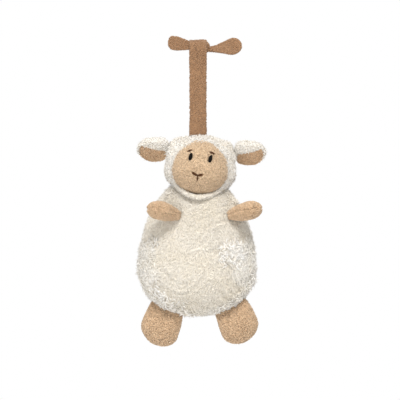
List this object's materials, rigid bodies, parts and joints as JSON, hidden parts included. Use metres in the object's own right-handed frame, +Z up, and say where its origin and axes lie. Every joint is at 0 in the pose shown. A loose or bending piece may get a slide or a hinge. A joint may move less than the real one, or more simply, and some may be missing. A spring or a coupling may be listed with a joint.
{
  "type": "hanging plush lamb with pull-cord music movement",
  "caption": "Soft stuffed lamb that hangs from a fleece tie strap; pulling it down draws a cord out of its head and winds a hidden comb music movement.",
  "frame": {"origin": "centre of the hanging eye, the loop at the top of the strap", "axes": "+Z up along the strap, -Y the way the lamb faces, +X along the rail in the eye, towards the lamb's own left"},
  "size_m": [0.13, 0.095, 0.3102],
  "materials": {
    "strap_fleece": "napped fleece",
    "cord": "braided",
    "cream_plush": "curly pile",
    "tan_fleece": "napped fleece",
    "stuffing": "loose fibre",
    "black_thread": "satin stitch",
    "brown_thread": "satin stitch",
    "case_plastic": "fine grain",
    "gear_plastic": "smooth",
    "steel": "satin",
    "brass": "satin"
  },
  "bodies": {
    "strap": {"hang_strap": "strap_fleece", "tie_knot": "strap_fleece", "left_tie_end": "strap_fleece", "right_tie_end": "strap_fleece", "cord_knot": "cord", "pull_cord": "cord"},
    "lamb": {"torso_front_panel": "cream_plush", "torso_back_panel": "cream_plush", "torso_stuffing": "stuffing", "head_hood_front": "cream_plush", "head_hood_back": "cream_plush", "face_panel": "tan_fleece", "head_stuffing": "stuffing", "left_eye": "black_thread", "right_eye": "black_thread", "left_brow": "brown_thread", "right_brow": "brown_thread", "nose_and_mouth_stitch": "brown_thread", "movement_case_front": "case_plastic", "movement_case_back": "case_plastic", "case_screws": "steel", "cord_guide": "brass", "movement_frame": "steel", "comb": "steel", "comb_screws": "brass", "spring_barrel": "gear_plastic", "mainspring": "steel"},
    "drum": {"cord_drum": "gear_plastic", "drum_arbor": "steel", "wound_cord": "cord", "clutch_spring": "steel"},
    "drive_gear": {"drive_gear": "gear_plastic"},
    "cylinder": {"pin_cylinder": "brass", "cylinder_arbor": "steel", "cylinder_pinion": "gear_plastic", "cylinder_wheel": "gear_plastic"},
    "idler": {"idler_gear": "gear_plastic"},
    "governor": {"fan_governor": "gear_plastic"},
    "left_arm": {"left_arm_top": "tan_fleece", "left_arm_underside": "tan_fleece", "left_arm_stuffing": "stuffing"},
    "left_foot": {"left_foot_front": "tan_fleece", "left_foot_back": "tan_fleece", "left_foot_stuffing": "stuffing"},
    "left_ear": {"left_ear_plush": "cream_plush", "left_ear_lining": "tan_fleece"},
    "right_arm": {"right_arm_top": "tan_fleece", "right_arm_underside": "tan_fleece", "right_arm_stuffing": "stuffing"},
    "right_foot": {"right_foot_front": "tan_fleece", "right_foot_back": "tan_fleece", "right_foot_stuffing": "stuffing"},
    "right_ear": {"right_ear_plush": "cream_plush", "right_ear_lining": "tan_fleece"}
  },
  "joints": [
    {"name": "pull_down", "type": "slide", "parent": "strap", "child": "lamb", "axis": [0, 0, -1], "range_m": [0, 0.15], "stiffness_N_per_m": 8, "springref_m": -0.5, "deforming": ["pull_cord"]},
    {"name": "drum_turn", "type": "hinge", "parent": "lamb", "child": "drum", "pos_m": [0, 0.00885, -0.2], "axis": [-1, 0, 0], "range_deg": [0, 975]},
    {"name": "cylinder_turn", "type": "hinge", "parent": "lamb", "child": "cylinder", "pos_m": [0, 0.00885, -0.217], "axis": [1, 0, 0], "continuous": true},
    {"name": "drive_gear_turn", "type": "hinge", "parent": "lamb", "child": "drive_gear", "pos_m": [0, 0.00885, -0.2], "axis": [1, 0, 0], "continuous": true},
    {"name": "idler_turn", "type": "hinge", "parent": "lamb", "child": "idler", "pos_m": [0, -0.0006, -0.21867], "axis": [1, 0, 0], "continuous": true},
    {"name": "governor_turn", "type": "hinge", "parent": "lamb", "child": "governor", "pos_m": [0, -0.00466, -0.20997], "axis": [1, 0, 0], "continuous": true},
    {"name": "left_arm_swing", "type": "hinge", "parent": "lamb", "child": "left_arm", "pos_m": [0.037, -0.0184, -0.16701], "axis": [0.7586, 0.6515, 0], "range_deg": [-25, 25], "stiffness_Nm_per_rad": 0.02},
    {"name": "right_arm_swing", "type": "hinge", "parent": "lamb", "child": "right_arm", "pos_m": [-0.026, -0.02615, -0.16701], "axis": [0.9262, -0.3771, 0], "range_deg": [-25, 25], "stiffness_Nm_per_rad": 0.02},
    {"name": "left_foot_swing", "type": "hinge", "parent": "lamb", "child": "left_foot", "pos_m": [0.0335, 0.004, -0.26086], "axis": [0.8806, 0, 0.474], "range_deg": [-35, 25], "stiffness_Nm_per_rad": 0.02},
    {"name": "right_foot_swing", "type": "hinge", "parent": "lamb", "child": "right_foot", "pos_m": [-0.0315, 0.004, -0.26284], "axis": [0.9114, 0, -0.4115], "range_deg": [-35, 25], "stiffness_Nm_per_rad": 0.02},
    {"name": "left_ear_swing", "type": "hinge", "parent": "lamb", "child": "left_ear", "pos_m": [0.03476, 0, -0.104], "axis": [0, 1, 0], "range_deg": [-30, 15], "stiffness_Nm_per_rad": 0.01},
    {"name": "right_ear_swing", "type": "hinge", "parent": "lamb", "child": "right_ear", "pos_m": [-0.0274, 0, -0.1005], "axis": [0, -1, 0], "range_deg": [-30, 15], "stiffness_Nm_per_rad": 0.01}
  ],
  "couplings": [
    {"joint": "drum_turn", "follows": "pull_down", "rad_per_m": 112.99},
    {"joint": "drive_gear_turn", "follows": "cylinder_turn", "ratio": -0.54545},
    {"joint": "idler_turn", "follows": "cylinder_turn", "ratio": -3},
    {"joint": "governor_turn", "follows": "cylinder_turn", "ratio": 9}
  ]
}
